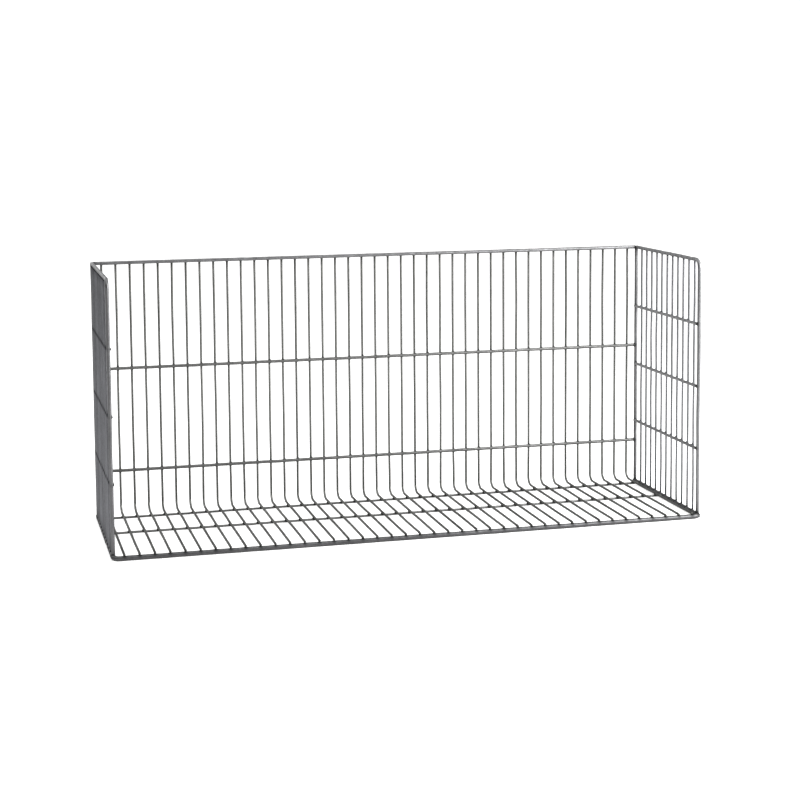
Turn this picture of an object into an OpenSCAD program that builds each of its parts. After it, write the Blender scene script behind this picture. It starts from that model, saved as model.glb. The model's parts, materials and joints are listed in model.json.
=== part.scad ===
// Open-front wire container, welded from round steel rod and wire.
// The origin is the centre of the footprint, on the surface it stands on.
// +X runs across the width, +Y towards the back wall and +Z up.

/* [Overall size] */
// Width over the base rod
width = 1000; // [900:1:1100]
// Depth from the front rail to the back of the L wires
depth = 300; // [240:1:400]
// Height to the top of the rails
height = 445; // [380:1:520]

/* [Rods and wires] */
// Diameter of the base rod, which is the front rail and both bottom side rods
base_d = 8; // [7:0.5:10]
// Diameter of the top rail, the side frames and the corner posts
frame_d = 6; // [5:0.5:7]
// Diameter of the L wires
wire_d = 4; // [3:0.5:5]
// Diameter of the two cross wires in the back
back_cross_d = 5.5; // [4:0.5:6]
// Diameter of the two cross wires in the floor
floor_cross_d = 4; // [3:0.5:5]
// Diameter of the horizontal bars in the sides
bar_d = 5; // [4:0.5:5.5]
// Diameter of the uprights in the sides
upright_d = 3.5; // [3:0.5:4]

/* [Bends] */
// Centreline radius of the base rod at the two front corners
base_bend = 12; // [10:1:20]
// Centreline radius of a side frame at its top front corner
frame_bend = 14; // [10:1:30]
// Centreline radius of an L wire between the floor and the back
wire_bend = 14; // [10:1:32]

/* [Back and floor mesh] */
// Number of L wires
wire_count = 41; // [11:1:41]
// Distance from the middle of a side frame to the nearest L wire
wire_inset = 16; // [12:1:24]
// How far the L wires reach past the middle of the front rail
wire_overhang = 2; // [0:0.5:3]
// How far the L wires end below the top of the top rail
wire_drop = 1; // [0:0.5:3]
// Height of the lower cross wire in the back
back_lower_z = 82; // [60:1:120]
// Height of the upper cross wire in the back
back_upper_z = 260; // [180:1:320]
// Distance of the rear floor cross wire in front of the back wires
floor_rear_gap = 33; // [33:1:60]
// Distance of the front floor cross wire behind the front rail
floor_front_gap = 155; // [80:1:160]

/* [Sides] */
// How far the corner posts end below the top of the rails
post_drop = 1; // [0:0.5:2]
// Number of uprights in each side
upright_count = 11; // [5:1:11]
// Number of horizontal bars in each side
bar_count = 3; // [1:1:3]
// Height of the top bar
bar_top_z = 333; // [300:1:345]
// Distance from one bar to the next
bar_pitch = 107; // [90:1:115]
// How far the bars lie inside the middle plane of the posts
bar_inset = 2.2; // [1.6:0.1:2.6]
// How far the uprights are pressed into the bars at their welds
bar_weld = 0.25; // [0:0.05:0.4]

/* [Hidden] */
$fn = 64;

// Planes of the base rod
base_r = base_d / 2;
side_x = width / 2 - base_r;
front_y = -depth / 2 + base_r;
base_z = base_r;

// Planes of the side frames, the corner posts and the top rail
frame_r = frame_d / 2;
top_z = height - frame_r;
post_y = front_y + base_bend;

// Planes of the L wires: on top of the base rod, and behind the top rail
wire_r = wire_d / 2;
floor_z = base_d + wire_r;
back_y = depth / 2 - wire_r;
corner_y = back_y - wire_r - frame_r;
wire_pitch = 2 * (side_x - wire_inset) / (wire_count - 1);

// Planes of the cross wires: inside the back, and under the floor
back_cross_y = back_y - wire_r - back_cross_d / 2;
floor_cross_z = floor_z - wire_r - floor_cross_d / 2;
floor_rear_y = back_y - floor_rear_gap;
floor_front_y = front_y + floor_front_gap;

// Planes of the side bars and uprights: both between the posts, uprights outside the bars
bar_r = bar_d / 2;
upright_r = upright_d / 2;
bar_x = side_x - bar_inset;
upright_x = bar_x + bar_r + upright_r - bar_weld;
upright_pitch = (corner_y - post_y) / (upright_count + 1);

// Where a wire that butts against a rod stops, when their centres are off by an offset
function butt(rod_r, offset) = sqrt(rod_r * rod_r - offset * offset);

// Two-digit name of one L wire
function wire_name(i) = str("l_wire_", i < 10 ? "0" : "", i);

// A straight rod along +X, +Y or +Z, starting at a point
module rod_x(from, length, d) {
    translate(from) rotate([0, 90, 0]) cylinder(h = length, d = d);
}
module rod_y(from, length, d) {
    translate(from) rotate([-90, 0, 0]) cylinder(h = length, d = d);
}
module rod_z(from, length, d) {
    translate(from) cylinder(h = length, d = d);
}

// A quarter bend in the XY plane about the origin, from the start angle on
module quarter_bend(r, d, start) {
    rotate([0, 0, start])
        rotate_extrude(angle = 90) translate([r, 0]) circle(d = d);
}

// Front rail and both bottom side rods, bent from one rod
module base_rod() {
    bend_x = side_x - base_bend;
    color("dimgray") {
        rod_x([-bend_x, front_y, base_z], 2 * bend_x, base_d);
        for (side = [-1, 1]) {
            rod_y([side * side_x, post_y, base_z], corner_y + frame_r - post_y, base_d);
            translate([side * bend_x, post_y, base_z])
                quarter_bend(base_bend, base_d, side < 0 ? 180 : 270);
        }
    }
}

// Rail along the top of the back, butted between the corner posts
module top_rail() {
    length = 2 * (side_x - frame_r);
    color("gray") rod_x([-length / 2, corner_y, top_z], length, frame_d);
}

// Rear post of a side, from the base rod to just below the top of the rails
module corner_post(side) {
    length = height - post_drop - base_d;
    color("gray") rod_z([side * side_x, corner_y, base_d], length, frame_d);
}

// Front post and top rod of a side, bent from one rod
module side_frame(side) {
    bend_y = post_y + frame_bend;
    bend_z = top_z - frame_bend;
    color("gray") translate([side * side_x, 0, 0]) {
        rod_z([0, post_y, base_d], bend_z - base_d, frame_d);
        rod_y([0, bend_y, top_z], corner_y - frame_r - bend_y, frame_d);
        translate([0, bend_y, bend_z]) rotate([90, 0, 90])
            quarter_bend(frame_bend, frame_d, 90);
    }
}

// Row of uprights of a side, butted between the base rod and the top rod
module uprights(side) {
    low = base_z + butt(base_r, upright_x - side_x);
    high = top_z - butt(frame_r, upright_x - side_x);
    color("silver") for (i = [1:upright_count])
        rod_z([side * upright_x, post_y + i * upright_pitch, low], high - low, upright_d);
}

// One horizontal bar of a side, butted between the front post and the corner post
module bar(side, i) {
    z = bar_top_z - (bar_count - i) * bar_pitch;
    gap = butt(frame_r, bar_inset);
    length = corner_y - post_y - 2 * gap;
    color("gray") rod_y([side * bar_x, post_y + gap, z], length, bar_d);
}

// Cross wire of the back, butted between the corner posts
module back_cross(z) {
    length = 2 * (side_x - butt(frame_r, back_cross_y - corner_y));
    color("gray") rod_x([-length / 2, back_cross_y, z], length, back_cross_d);
}

// Cross wire of the floor, butted between the bottom side rods
module floor_cross(y) {
    length = 2 * (side_x - butt(base_r, floor_cross_z - base_z));
    color("gray") rod_x([-length / 2, y, floor_cross_z], length, floor_cross_d);
}

// One wire of the floor and the back: from the front rail, round the bend and up to the rail
module l_wire(i) {
    x = wire_inset - side_x + (i - 1) * wire_pitch;
    bend_y = back_y - wire_bend;
    bend_z = floor_z + wire_bend;
    start_y = front_y - wire_overhang;
    color("lightgray") translate([x, 0, 0]) {
        rod_y([0, start_y, floor_z], bend_y - start_y, wire_d);
        rod_z([0, back_y, bend_z], height - wire_drop - bend_z, wire_d);
        translate([0, bend_y, bend_z]) rotate([90, 0, 90])
            quarter_bend(wire_bend, wire_d, 270);
    }
}

base_rod();
top_rail();
corner_post(-1);  // left_corner_post
corner_post(1);  // right_corner_post
side_frame(-1);  // left_side_frame
side_frame(1);  // right_side_frame
uprights(-1);  // left_uprights
uprights(1);  // right_uprights
back_cross(back_lower_z);  // back_cross_lower
back_cross(back_upper_z);  // back_cross_upper
floor_cross(floor_rear_y);  // floor_cross_rear
floor_cross(floor_front_y);  // floor_cross_front
for (i = [1:bar_count]) {
    bar(-1, i);
    bar(1, i);
}
for (i = [1:wire_count]) {
    l_wire(i);
}
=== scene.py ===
"""The looks of the wire container: drawn wires with pressed welds, zinc, soft light and a camera."""
import json
import math

import bpy
import numpy as np
from mathutils import Matrix, Vector


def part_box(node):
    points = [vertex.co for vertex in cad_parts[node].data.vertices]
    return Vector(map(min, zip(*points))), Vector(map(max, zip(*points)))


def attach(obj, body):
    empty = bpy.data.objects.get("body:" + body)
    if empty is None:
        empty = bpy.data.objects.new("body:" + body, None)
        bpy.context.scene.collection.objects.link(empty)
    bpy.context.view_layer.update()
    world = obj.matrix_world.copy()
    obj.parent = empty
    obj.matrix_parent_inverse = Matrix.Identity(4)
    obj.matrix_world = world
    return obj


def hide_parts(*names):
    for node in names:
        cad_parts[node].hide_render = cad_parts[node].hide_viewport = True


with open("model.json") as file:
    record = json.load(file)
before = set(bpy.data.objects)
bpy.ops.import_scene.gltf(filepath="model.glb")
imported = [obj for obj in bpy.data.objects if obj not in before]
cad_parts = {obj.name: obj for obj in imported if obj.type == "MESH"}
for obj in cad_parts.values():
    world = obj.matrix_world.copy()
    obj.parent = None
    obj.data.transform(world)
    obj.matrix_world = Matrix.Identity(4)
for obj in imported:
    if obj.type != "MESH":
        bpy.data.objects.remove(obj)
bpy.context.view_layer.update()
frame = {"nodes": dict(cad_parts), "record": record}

MM = 0.001
ALONG_X = (1.0, 0.0, 0.0)
ALONG_Z = (0.0, 0.0, 1.0)


# ------------------------------------------------------------------ camera

# The camera stands left of the middle, a little above the top rail.
# It looks right and down, and its lens is shifted so that the posts stay nearly upright.
CAMERA_PLACE = Vector((-0.7279, -2.8099, 0.7137))
CAMERA_YAW = math.radians(14.67)
CAMERA_PITCH = math.radians(5.68)
CAMERA_ROLL = math.radians(-0.43)
# Focal length and film width in millimetres, and the upward shift as a share of the width.
CAMERA_LENS = 77.55
CAMERA_SENSOR = 36.0
CAMERA_SHIFT = -0.16


def add_camera():
    """The camera, turned from a level look along +Y."""
    data = bpy.data.cameras.new("camera")
    data.sensor_width = CAMERA_SENSOR
    data.lens = CAMERA_LENS
    data.shift_y = CAMERA_SHIFT
    camera = bpy.data.objects.new("camera", data)
    turn = (
        Matrix.Rotation(-CAMERA_YAW, 3, "Z")
        @ Matrix.Rotation(math.radians(90) - CAMERA_PITCH, 3, "X")
        @ Matrix.Rotation(CAMERA_ROLL, 3, "Z")
    )
    camera.matrix_world = Matrix.Translation(CAMERA_PLACE) @ turn.to_4x4()
    bpy.context.scene.collection.objects.link(camera)
    bpy.context.scene.camera = camera


# ------------------------------------------------------------------ routes

# Centreline radii of the bends, and how many uprights a side has: a node's box doesn't tell them.
BASE_BEND = 12 * MM
FRAME_BEND = 14 * MM
WIRE_BEND = 14 * MM
UPRIGHTS = 11


class Route:
    """A wire's centreline: straight stretches joined by round bends, all in one plane."""

    def __init__(self, corners, normal, bend=0.0):
        self.normal = np.array(normal, float)
        self.stretches = []
        self.bends = []
        self.length = 0.0
        corners = [np.array(c, float) for c in corners]
        start = corners[0]
        for before, corner, after in zip(corners, corners[1:], corners[2:]):
            ahead = unit(corner - before)
            turned = unit(after - corner)
            self._add_straight(start, corner - ahead * bend)
            self._add_bend(corner - ahead * bend, ahead, turned, bend)
            start = corner + turned * bend
        self._add_straight(start, corners[-1])

    def _add_straight(self, start, end):
        length = np.linalg.norm(end - start)
        self.stretches.append((self.length, length, start, unit(end - start)))
        self.length += length

    def _add_bend(self, start, ahead, turned, radius):
        length = radius * math.pi / 2
        self.bends.append((self.length, length, start, ahead, turned, radius))
        self.length += length

    def at(self, distances):
        """Centres and directions at distances along the wire, straight on past its ends."""
        centres = np.zeros((len(distances), 3))
        ways = np.zeros((len(distances), 3))
        last = self.stretches[-1][0]
        for begin, length, start, ahead in self.stretches:
            low = -math.inf if begin == 0.0 else begin
            high = math.inf if begin == last else begin + length
            on = (distances >= low) & (distances <= high)
            centres[on] = start + (distances[on] - begin)[:, None] * ahead
            ways[on] = ahead
        for begin, length, start, ahead, turned, radius in self.bends:
            on = (distances > begin) & (distances < begin + length)
            turn = ((distances[on] - begin) / radius)[:, None]
            centres[on] = start + radius * (np.sin(turn) * ahead + (1 - np.cos(turn)) * turned)
            ways[on] = np.cos(turn) * ahead + np.sin(turn) * turned
        return centres, ways


def unit(vector):
    """The vector at length 1."""
    return vector / np.linalg.norm(vector)


def straight_rod(low, high):
    """Start, end and radius of a straight rod that fills a box."""
    size = high - low
    along = max(range(3), key=lambda k: size[k])
    radius = max(size[k] for k in range(3) if k != along) / 2
    start = (low + high) / 2
    end = start.copy()
    start[along] = low[along]
    end[along] = high[along]
    return start, end, radius


# ------------------------------------------------------------------ wires and their welds

# Two rods are welded where their surfaces come closer than this.
TOUCH = 0.8 * MM
# Wires further from a wire's box than this can't touch it.
SEARCH = 15 * MM
# A weld this near a wire's end is a butt weld.
BUTT_REACH = 4 * MM
# Each wire takes its zinc this many metres along from the wire before.
PATTERN_STEP = 0.737


class Wire:
    """One rod or wire. Of two that are welded, the one of the lower rank draws the fillet."""

    def __init__(self, route, radius, rank, index):
        self.route = route
        self.radius = radius
        self.rank = (round(radius / MM, 1), rank)
        self.noise = np.random.default_rng(index)
        self.offset = index * PATTERN_STEP
        self.tone = self.noise.uniform(0.0, 1.0)
        self.welds = []

    def lines(self):
        """(start, end, radius) of each straight stretch, cut so that round ends stay inside."""
        last = len(self.route.stretches) - 1
        for k, (_, length, start, ahead) in enumerate(self.route.stretches):
            low = self.radius if k == 0 else 0.0
            high = length - self.radius if k == last else length
            yield start + ahead * low, start + ahead * high, self.radius


def distance_to_line(points, start, end):
    """Distance of each point from the stretch between start and end."""
    along = end - start
    share = np.clip(((points - start) @ along) / (along @ along), 0, 1)
    return np.linalg.norm(points - start - share[..., None] * along, axis=-1)


def find_welds(wires):
    """Gives each wire its welds: (distance along it, the other's line, if it draws the fillet)."""
    for wire in wires:
        # Places along the wire, a little under 1 mm apart.
        steps = np.linspace(0, wire.route.length, int(wire.route.length / MM) + 2)
        centres, _ = wire.route.at(steps)
        low = centres.min(0) - SEARCH
        high = centres.max(0) + SEARCH
        for other in wires:
            if other is wire:
                continue
            for start, end, radius in other.lines():
                if (np.maximum(start, end) < low).any() or (np.minimum(start, end) > high).any():
                    continue
                gaps = distance_to_line(centres, start, end)
                nearest = int(gaps.argmin())
                if gaps[nearest] < wire.radius + radius + TOUCH:
                    owns = wire.rank < other.rank
                    wire.welds.append((steps[nearest], (start, end, radius), owns))


def is_butt(wire, place):
    """Whether the wire ends at this weld."""
    return place < BUTT_REACH or place > wire.route.length - BUTT_REACH


# ------------------------------------------------------------------ shapes

# Points round a wire, and the rings along it: on plain stretches, in bends and at each weld.
SIDES = 20
ANGLES = np.arange(SIDES) / SIDES * 2 * math.pi
PLAIN_GAP = 22 * MM
BEND_STEP = math.radians(6)
WELD_REACH = 6 * MM
WELD_RINGS = 15
# Rings are placed to this many decimals of a metre, and two that are closer than SAME are one.
DECIMALS = 5
SAME = 1e-5
# A gap smaller than this counts as none.
TINY = 1e-6
# A tip that is welded to another rod runs this far on into it.
BURY = 0.8 * MM
# A sheared tip: (distance from the tip, share of the radius).
CUT = ((0.0, 0.80), (0.22 * MM, 0.95), (0.6 * MM, 1.0))
# How far a wire usually bows between its welds, the most, and the shortest stretch that bows.
WAVE = 0.25 * MM
WAVE_LIMIT = 2 * WAVE
WAVE_GAP = 20 * MM
# Width of the fillet at a crossing and at a butt weld, and its spread from weld to weld.
WELD_BLEND = 3.0 * MM
BUTT_BLEND = 1.2 * MM
BLEND_SPREAD = (0.75, 1.2)
# The fillet's ripple: its share of the width, how many go round, and its most turn in radians.
RIPPLE = 0.25
RIPPLES_ROUND = 3
RIPPLE_TURN = 6
# The march outwards to a fillet's surface: its end, its step, and how deep in the other rod.
MARCH_END = 2.6 * MM
MARCH_STEP = 0.06 * MM
MARCH_DEPTH = 0.5 * MM
# How far a weld's burnt tint, with painted shade where the wires meet, reaches.
WELD_BURN_AND_SHADE_REACH = 4.2 * MM


def drawn_ends(wire):
    """The first and last distance that is drawn, and whether each tip is buried in another rod."""
    length = wire.route.length
    tips, _ = wire.route.at(np.array([0.0, length]))
    buried = [
        any(distance_to_line(tip, start, end) < radius + TOUCH
            for _, (start, end, radius), _ in wire.welds)
        for tip in tips
    ]
    low = -BURY if buried[0] else 0.0
    high = length + BURY if buried[1] else length
    return low, high, buried


def stations(wire, low, high):
    """Distances along the wire at which it gets a ring of points."""
    marks = [np.arange(low, high, PLAIN_GAP), [low, high]]
    marks += [[low + step, high - step] for step, _ in CUT]
    for place, _, _ in wire.welds:
        reach = WELD_REACH / 2 if is_butt(wire, place) else WELD_REACH
        marks.append(np.linspace(place - reach, place + reach, WELD_RINGS))
    for begin, length, *_, radius in wire.route.bends:
        marks.append(np.linspace(begin, begin + length, int(length / radius / BEND_STEP) + 1))
    marks = np.unique(np.round(np.concatenate(marks), DECIMALS))
    return marks[(marks >= low - TINY) & (marks <= high + TINY)]


def waves(wire, rings):
    """How far each ring lies off the straight line, across and in the wire's plane."""
    fixed = sorted({0.0, wire.route.length, *(place for place, _, _ in wire.welds)})
    off = np.zeros((len(rings), 2))
    for low, high in zip(fixed, fixed[1:]):
        size = wire.noise.normal(0, WAVE, 2)
        if high - low < WAVE_GAP:
            continue
        on = (rings > low) & (rings < high)
        swing = np.sin((rings[on] - low) / (high - low) * math.pi) ** 2
        off[on] = swing[:, None] * np.clip(size, -WAVE_LIMIT, WAVE_LIMIT)
    return off


def wheels(wire, rings):
    """The centre of each ring, and its spokes: the directions from there to its points."""
    centres, ways = wire.route.at(rings)
    across = np.tile(wire.route.normal, (len(rings), 1))
    inward = np.cross(ways, across)
    off = waves(wire, rings)
    centres = centres + off[:, :1] * across + off[:, 1:] * inward
    spokes = (
        np.cos(ANGLES)[None, :, None] * across[:, None]
        + np.sin(ANGLES)[None, :, None] * inward[:, None]
    )
    return centres, spokes


def near_weld(rings, place):
    """Which rings a weld reaches."""
    return np.abs(rings - place) <= WELD_REACH + SAME


def swell(radii, centres, spokes, radius, line, blend):
    """Grows the radii to a smooth blend with a round rod along the line."""
    start, end, other = line
    grown = radii.copy()
    growing = np.ones(radii.shape, bool)
    for step in np.arange(0.0, MARCH_END, MARCH_STEP):
        reach = radius + step
        points = centres[:, None] + spokes * reach
        far = distance_to_line(points, start, end) - other
        # The gap to the smooth union of the two rods, which is below 0 inside it.
        share = np.clip(0.5 + 0.5 * (far - step) / blend, 0, 1)
        gap = far * (1 - share) + step * share - blend * share * (1 - share)
        inside = growing & (gap < -TINY) & (step < blend)
        grown = np.where(inside & (reach > grown), reach, grown)
        growing &= (gap < -TINY) & (far > -MARCH_DEPTH)
    return grown


def ring_radii(wire, rings, centres, spokes):
    """Length of each spoke: the wire's radius, and more at the welds that the wire owns."""
    radii = np.full((len(rings), SIDES), wire.radius)
    for place, line, owns in wire.welds:
        if not owns:
            continue
        near = near_weld(rings, place)
        blend = BUTT_BLEND if is_butt(wire, place) else WELD_BLEND
        blend *= wire.noise.uniform(*BLEND_SPREAD)
        ripple = 1 + RIPPLE * np.sin(ANGLES * RIPPLES_ROUND + wire.noise.uniform(0, RIPPLE_TURN))
        radii[near] = swell(
            radii[near], centres[near], spokes[near], wire.radius, line, blend * ripple
        )
    return radii


def shear_tips(radii, rings, low, high, buried):
    """Rounds the free tips, as a shear leaves them."""
    for is_buried, tip, side in zip(buried, (low, high), (1, -1)):
        if not is_buried:
            for step, share in CUT:
                radii[np.abs(rings - tip - side * step) < SAME] *= share


def weld_burn_and_shade(wire, rings, points):
    """How strongly each point is darkened at a weld, from 0 to 1: burnt zinc, and painted shade that
    is darkest where the two wires meet.
    """
    burn_and_shade = np.zeros(points.shape[:2])
    for place, (start, end, radius), _ in wire.welds:
        middle = wire.route.at(np.array([place]))[0][0]
        near = near_weld(rings, place)
        depth = np.maximum(distance_to_line(points[near], start, end) - radius, 0)
        spread = np.linalg.norm(points[near] - middle, axis=-1) - wire.radius
        here = np.exp(-((depth + np.maximum(spread, 0)) / WELD_BURN_AND_SHADE_REACH) ** 2)
        burn_and_shade[near] = np.maximum(burn_and_shade[near], here)
    return burn_and_shade


def grain_of(wire, rings):
    """Places in the zinc's pattern, which runs along the wire."""
    along = np.repeat(rings[:, None] + wire.offset, SIDES, 1)
    across = [np.tile(turn(ANGLES) * wire.radius, (len(rings), 1)) for turn in (np.cos, np.sin)]
    return np.stack([along, *across], -1)


def wire_shape(wire):
    """Points, grain and weld darkening of a wire's surface: burnt zinc and painted shade."""
    low, high, buried = drawn_ends(wire)
    rings = stations(wire, low, high)
    centres, spokes = wheels(wire, rings)
    radii = ring_radii(wire, rings, centres, spokes)
    shear_tips(radii, rings, low, high, buried)
    points = centres[:, None] + spokes * radii[..., None]
    return points, grain_of(wire, rings), weld_burn_and_shade(wire, rings, points)


def tube_faces(rings, first):
    """Quads round a tube of rings of points, and a cap at each end."""
    faces = []
    for ring in range(rings - 1):
        row = first + ring * SIDES
        for side in range(SIDES):
            after = (side + 1) % SIDES
            faces.append((row + side, row + SIDES + side, row + SIDES + after, row + after))
    faces.append(tuple(first + side for side in range(SIDES)))
    faces.append(tuple(first + (rings - 1) * SIDES + side for side in reversed(range(SIDES))))
    return faces


# ------------------------------------------------------------------ pieces

# Edges sharper than this stay crisp.
CRISP = math.radians(50)


def add_attribute(mesh, name, kind, field, values):
    """A value for each of the mesh's points, which the material reads."""
    made = mesh.attributes.new(name, kind, "POINT")
    made.data.foreach_set(field, np.concatenate(values).astype(np.float32).ravel())


def build_piece(name, wires, material, replaced):
    """One mesh of one or more wires, which stands for a CAD node."""
    points, grains, burns_and_shades, tones, faces = [], [], [], [], []
    for wire in wires:
        shape, grain, burn_and_shade = wire_shape(wire)
        faces += tube_faces(len(shape), sum(len(p) for p in points))
        points.append(shape.reshape(-1, 3))
        grains.append(grain.reshape(-1, 3))
        burns_and_shades.append(burn_and_shade.reshape(-1))
        tones.append(np.full(burn_and_shade.size, wire.tone))
    mesh = bpy.data.meshes.new(name)
    mesh.from_pydata(np.concatenate(points).tolist(), [], faces)
    add_attribute(mesh, "grain", "FLOAT_VECTOR", "vector", grains)
    # The weld values carry burnt zinc and painted shade near each weld.
    add_attribute(mesh, "weld", "FLOAT", "value", burns_and_shades)
    add_attribute(mesh, "tone", "FLOAT", "value", tones)
    mesh.shade_smooth()
    mesh.set_sharp_from_angle(angle=CRISP)
    mesh.materials.append(material)
    piece = bpy.data.objects.new(name, mesh)
    bpy.context.scene.collection.objects.link(piece)
    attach(piece, "root")
    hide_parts(replaced)


# ------------------------------------------------------------------ zinc

# Each slot's zinc: its base colour, its roughness and how bright its edges are.
# The base colours are the zinc's own grey with painted shade in them: darker than bare zinc, and
# darker or lighter per part as light falls on each.
ZINCS_WITH_PAINTED_SHADE = {
    "heavy_rod": ((0.115, 0.115, 0.118), 0.42, 0.6),
    "frame_rod": ((0.18, 0.18, 0.184), 0.38, 0.75),
    "side_bar": ((0.20, 0.20, 0.204), 0.38, 1.0),
    "side_wire": ((0.176, 0.178, 0.188), 0.36, 0.5),
    "cross_wire": ((0.16, 0.16, 0.157), 0.38, 0.6),
    "mesh_wire": ((0.150, 0.151, 0.144), 0.36, 0.5),
}
# The darkest and lightest plating, and a weld's burnt zinc with painted shade where the wires meet,
# as shares of the base colour.
DARK, LIGHT, BURNT_AND_SHADED = 0.60, 1.40, 0.20
# How much of the plating's tone is the wire's own, and how much each of the two clouds adds.
TONE_SHARE = 0.4
CLOUD_SHARE = 0.3
# The part of each noise that is spread over its whole range.
CLOUD_SPAN = (0.3, 0.7)
BROAD_SPAN = (0.35, 0.65)
# How much smoother and rougher than its roughness a zinc gets in its clouds.
SMOOTHER = 0.08
ROUGHER = 0.1
# The most that a weld is burnt and painted shaded, the tint that is enough for it, and how much
# rougher a weld is.
WELD_BURN_AND_SHADE_MOST = 0.9
WELD_BURN_AND_SHADE_FULL = 0.8
WELD_ROUGH = 0.25
# Repeats in a metre: drawing lines (along, across and across), small clouds and broad clouds.
LINE_SCALE = (40.0, 2600.0, 2600.0)
CLOUD_SCALE = 220.0
BROAD_SCALE = 14.0
# Height and strength of the bumps, and how high the drawing lines are beside the small clouds.
BUMP_HEIGHT = 0.07 * MM
BUMP_STRENGTH = 0.5
LINE_HEIGHT = 0.6


def link(tree, source, target):
    """Joins two sockets."""
    tree.links.new(source, target)


def node(tree, kind, **values):
    """A new shader node with its settings and its inputs, by name."""
    made = tree.nodes.new(kind)
    for key, value in values.items():
        if key in made.inputs:
            made.inputs[key].default_value = value
        else:
            setattr(made, key, value)
    return made


def ramp(tree, source, low, high, from_low=0.0, from_high=1.0, kind="LINEAR"):
    """Carries a value from one range to another."""
    made = node(tree, "ShaderNodeMapRange", interpolation_type=kind)
    made.inputs["From Min"].default_value = from_low
    made.inputs["From Max"].default_value = from_high
    made.inputs["To Min"].default_value = low
    made.inputs["To Max"].default_value = high
    link(tree, source, made.inputs["Value"])
    return made.outputs["Result"]


def add(tree, first, second, share=1.0):
    """The first value, times its share, plus the second."""
    made = node(tree, "ShaderNodeMath", operation="MULTIPLY_ADD")
    link(tree, first, made.inputs[0])
    made.inputs[1].default_value = share
    link(tree, second, made.inputs[2])
    return made.outputs["Value"]


def mix(tree, share, first, second):
    """A colour mixed from two, each a plain colour or a socket."""
    # A mix of colours takes its share at input 0 and the colours at 6 and 7, and gives output 2.
    made = node(tree, "ShaderNodeMix", data_type="RGBA")
    link(tree, share, made.inputs[0])
    for source, target in ((first, made.inputs[6]), (second, made.inputs[7])):
        if isinstance(source, tuple):
            target.default_value = source
        else:
            link(tree, source, target)
    return made.outputs[2]


def noise(tree, place, scale, detail, roughness=0.5):
    """A noise pattern."""
    made = node(tree, "ShaderNodeTexNoise", Scale=scale, Detail=detail, Roughness=roughness)
    link(tree, place, made.inputs["Vector"])
    return made.outputs["Fac"]


def attribute(tree, name, output="Fac"):
    """A value that the mesh carries."""
    return node(tree, "ShaderNodeAttribute", attribute_name=name).outputs[output]


def shaded(colour, share):
    """A colour made darker or lighter."""
    return (*[min(c * share, 1) for c in colour], 1)


def zinc(name, colour, roughness, edge):
    """Zinc-plated steel wire: faint drawing lines, cloudy plating and dark, rough welds, dark from
    burnt zinc and painted shade.
    """
    material = bpy.data.materials.new(name)
    material.use_nodes = True
    tree = material.node_tree
    shader = tree.nodes["Principled BSDF"]
    shader.inputs["Metallic"].default_value = 1.0
    shader.inputs["Specular Tint"].default_value = (edge, edge, edge, 1)
    grain = attribute(tree, "grain", "Vector")
    # Burnt zinc and painted shade near the welds, as the mesh carries them.
    weld = attribute(tree, "weld")
    stretch = node(tree, "ShaderNodeMapping", Scale=LINE_SCALE)
    link(tree, grain, stretch.inputs["Vector"])
    lines = noise(tree, stretch.outputs["Vector"], scale=1.0, detail=3.0, roughness=0.6)
    cloud = noise(tree, grain, scale=CLOUD_SCALE, detail=4.0, roughness=0.55)
    broad = noise(tree, grain, scale=BROAD_SCALE, detail=2.0)

    small = ramp(tree, cloud, 0.0, CLOUD_SHARE, *CLOUD_SPAN)
    mottle = add(tree, small, ramp(tree, broad, 0.0, CLOUD_SHARE, *BROAD_SPAN))
    tone = add(tree, attribute(tree, "tone"), mottle, TONE_SHARE)
    plating = mix(tree, tone, shaded(colour, DARK), shaded(colour, LIGHT))
    # The welds' dark: burnt zinc, and painted shade where the wires meet.
    burn_and_shade_share = ramp(tree, weld, 0.0, WELD_BURN_AND_SHADE_MOST, 0.0, WELD_BURN_AND_SHADE_FULL)
    link(tree, mix(tree, burn_and_shade_share, plating, shaded(colour, BURNT_AND_SHADED)), shader.inputs["Base Color"])

    rough = ramp(tree, cloud, roughness - SMOOTHER, roughness + ROUGHER, *CLOUD_SPAN)
    rough = add(tree, rough, ramp(tree, weld, 0.0, WELD_ROUGH))
    link(tree, rough, shader.inputs["Roughness"])

    bump = node(tree, "ShaderNodeBump", Strength=BUMP_STRENGTH, Distance=BUMP_HEIGHT)
    link(tree, add(tree, lines, cloud, LINE_HEIGHT), bump.inputs["Height"])
    link(tree, bump.outputs["Normal"], shader.inputs["Normal"])
    return material


# ------------------------------------------------------------------ the container

class Drawing:
    """The wires of each node, numbered as they are added."""

    def __init__(self):
        self.wires = {}
        self.count = 0

    def add(self, name, corners, radius, normal, bend=0.0, rank=0):
        """One more wire in a node."""
        self.count += 1
        wire = Wire(Route(corners, normal, bend), radius, rank, self.count)
        self.wires.setdefault(name, []).append(wire)


def draw_base_rod(drawing):
    """The front rail and both bottom side rods."""
    low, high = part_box("base_rod")
    radius = (high.z - low.z) / 2
    side_x, front_y, level = high.x - radius, low.y + radius, low.z + radius
    corners = [(-side_x, high.y, level), (-side_x, front_y, level)]
    corners += [(side_x, front_y, level), (side_x, high.y, level)]
    drawing.add("base_rod", corners, radius, ALONG_Z, BASE_BEND)


def draw_side(drawing, side):
    """A side's frame, with its front post and top rod, and its uprights."""
    name = side + "_side_frame"
    low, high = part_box(name)
    radius = (high.x - low.x) / 2
    x, post_y, top_z = low.x + radius, low.y + radius, high.z - radius
    corners = [(x, post_y, low.z), (x, post_y, top_z), (x, high.y, top_z)]
    drawing.add(name, corners, radius, ALONG_X, FRAME_BEND)
    name = side + "_uprights"
    low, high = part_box(name)
    radius = (high.x - low.x) / 2
    x = low.x + radius
    for y in np.linspace(low.y + radius, high.y - radius, UPRIGHTS):
        drawing.add(name, [(x, y, low.z), (x, y, high.z)], radius, ALONG_X)


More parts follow.
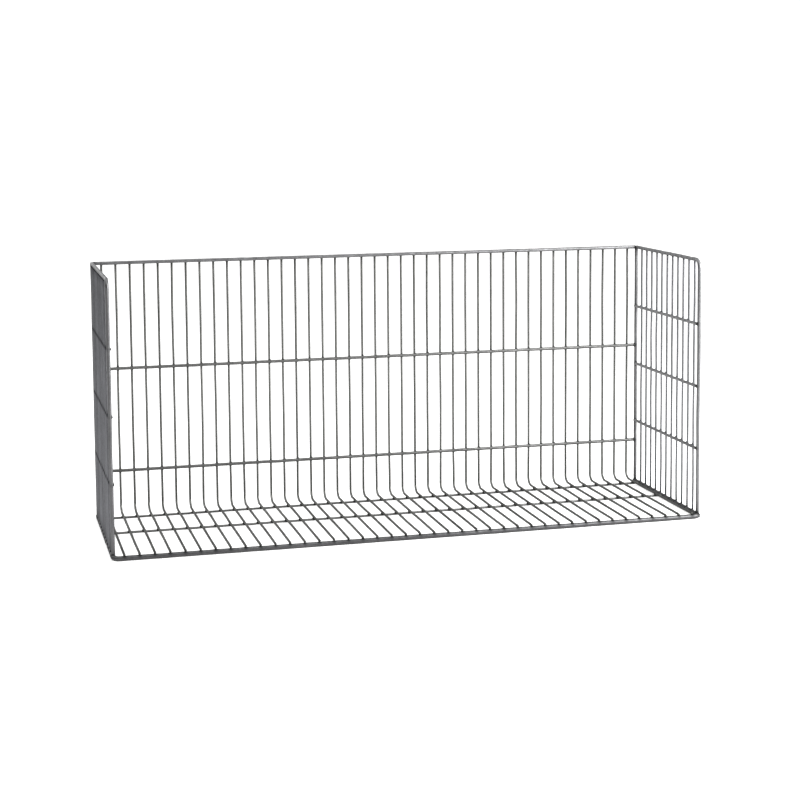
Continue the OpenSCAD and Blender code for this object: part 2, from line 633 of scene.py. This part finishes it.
def draw_l_wire(drawing, name):
    """A wire along the floor and up the back."""
    low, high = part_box(name)
    radius = (high.x - low.x) / 2
    x, floor_z, back_y = low.x + radius, low.z + radius, high.y - radius
    corners = [(x, low.y, floor_z), (x, back_y, floor_z), (x, back_y, high.z)]
    drawing.add(name, corners, radius, ALONG_X, WIRE_BEND)


def draw_straight(drawing, name):
    """A rail, a bar, a post or a cross wire."""
    start, end, radius = straight_rod(*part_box(name))
    normal = ALONG_Z if abs(end.z - start.z) < radius else ALONG_X
    # Beside an equally thick rod, a cross wire or a post leaves the fillet to that rod.
    rank = 1 if "cross" in name or "post" in name else 0
    drawing.add(name, [start, end], radius, normal, rank=rank)


def make_container():
    """Every rod and wire, welded to its neighbours."""
    drawing = Drawing()
    draw_base_rod(drawing)
    for side in ("left", "right"):
        draw_side(drawing, side)
    for name in sorted(frame["nodes"]):
        if name.startswith("l_wire"):
            draw_l_wire(drawing, name)
        elif name not in drawing.wires:
            draw_straight(drawing, name)
    find_welds([wire for wires in drawing.wires.values() for wire in wires])
    materials = {slot: zinc(slot, *look) for slot, look in ZINCS_WITH_PAINTED_SHADE.items()}
    slots = {part["node"]: part["material_slot"] for part in frame["record"]["subparts"]}
    for name, wires in drawing.wires.items():
        build_piece(name + "_drawn", wires, materials[slots[name]], name)


# ------------------------------------------------------------------ studio

# The floor: half its width in metres, how pale and rough it is, and its glow to the camera.
FLOOR_HALF = 12.0
FLOOR_PALE = 0.9
FLOOR_ROUGH = 0.9
FLOOR_GLOW = 0.45
# The walls that the metal mirrors are dim, and pale behind the container:
# they turn pale as the Y of a direction goes from WALL_FROM to WALL_TO.
WALL_FROM, WALL_TO = 0.7, 0.95
WALL_DIM, WALL_PALE = 0.22, 1.0
# The walls as the camera sees them.
WALL_WHITE = 1.10
# The sky's strength, and how wide it is seen.
SKY_STRENGTH = 2.1
SKY_ANGLE = math.radians(100)


def add_floor():
    """A plain pale floor, which glows a little to the camera."""
    half = FLOOR_HALF
    corners = [(-half, -half, 0), (half, -half, 0), (half, half, 0), (-half, half, 0)]
    mesh = bpy.data.meshes.new("floor")
    mesh.from_pydata(corners, [], [(0, 1, 2, 3)])
    floor = bpy.data.objects.new("floor", mesh)
    bpy.context.scene.collection.objects.link(floor)
    material = bpy.data.materials.new("floor")
    material.use_nodes = True
    tree = material.node_tree
    shader = tree.nodes["Principled BSDF"]
    shader.inputs["Base Color"].default_value = (FLOOR_PALE, FLOOR_PALE, FLOOR_PALE, 1)
    shader.inputs["Emission Color"].default_value = (1, 1, 1, 1)
    shader.inputs["Roughness"].default_value = FLOOR_ROUGH
    shader.inputs["Specular IOR Level"].default_value = 0.0
    path = node(tree, "ShaderNodeLightPath")
    glow = ramp(tree, path.outputs["Is Camera Ray"], 0.0, FLOOR_GLOW)
    link(tree, glow, shader.inputs["Emission Strength"])
    mesh.materials.append(material)


def add_world():
    """Studio walls: white to the camera, and mostly dim to the metal."""
    world = bpy.data.worlds.new("studio")
    bpy.context.scene.world = world
    world.use_nodes = True
    tree = world.node_tree
    background = tree.nodes["Background"]
    background.inputs["Color"].default_value = (1, 1, 1, 1)
    place = node(tree, "ShaderNodeTexCoord")
    split = node(tree, "ShaderNodeSeparateXYZ")
    link(tree, place.outputs["Generated"], split.inputs["Vector"])
    span = (WALL_DIM, WALL_PALE, WALL_FROM, WALL_TO)
    walls = ramp(tree, split.outputs["Y"], *span, kind="SMOOTHSTEP")
    path = node(tree, "ShaderNodeLightPath")
    # A mix of values takes its share at input 0 and the values at 2 and 3, and gives output 0.
    seen = node(tree, "ShaderNodeMix", data_type="FLOAT")
    link(tree, path.outputs["Is Camera Ray"], seen.inputs[0])
    link(tree, walls, seen.inputs[2])
    seen.inputs[3].default_value = WALL_WHITE
    link(tree, seen.outputs[0], background.inputs["Strength"])


def add_sky():
    """A very soft light from straight above."""
    data = bpy.data.lights.new("sky", "SUN")
    data.energy = SKY_STRENGTH
    data.angle = SKY_ANGLE
    bpy.context.scene.collection.objects.link(bpy.data.objects.new("sky", data))


def add_softbox(name, place, aim, size, power):
    """A large square lamp."""
    data = bpy.data.lights.new(name, "AREA")
    data.size = size
    data.energy = power
    lamp = bpy.data.objects.new(name, data)
    lamp.location = place
    lamp.rotation_euler = (Vector(aim) - Vector(place)).to_track_quat("-Z", "Y").to_euler()
    bpy.context.scene.collection.objects.link(lamp)


add_camera()
make_container()
add_floor()
add_world()
add_sky()
add_softbox("key", place=(1.4, -1.0, 0.9), aim=(0.4, 0.0, 0.2), size=1.3, power=52)
add_softbox("fill", place=(-1.6, 1.8, 1.4), aim=(0.0, 0.0, 0.2), size=1.6, power=18)
bpy.context.scene.view_settings.view_transform = "Standard"
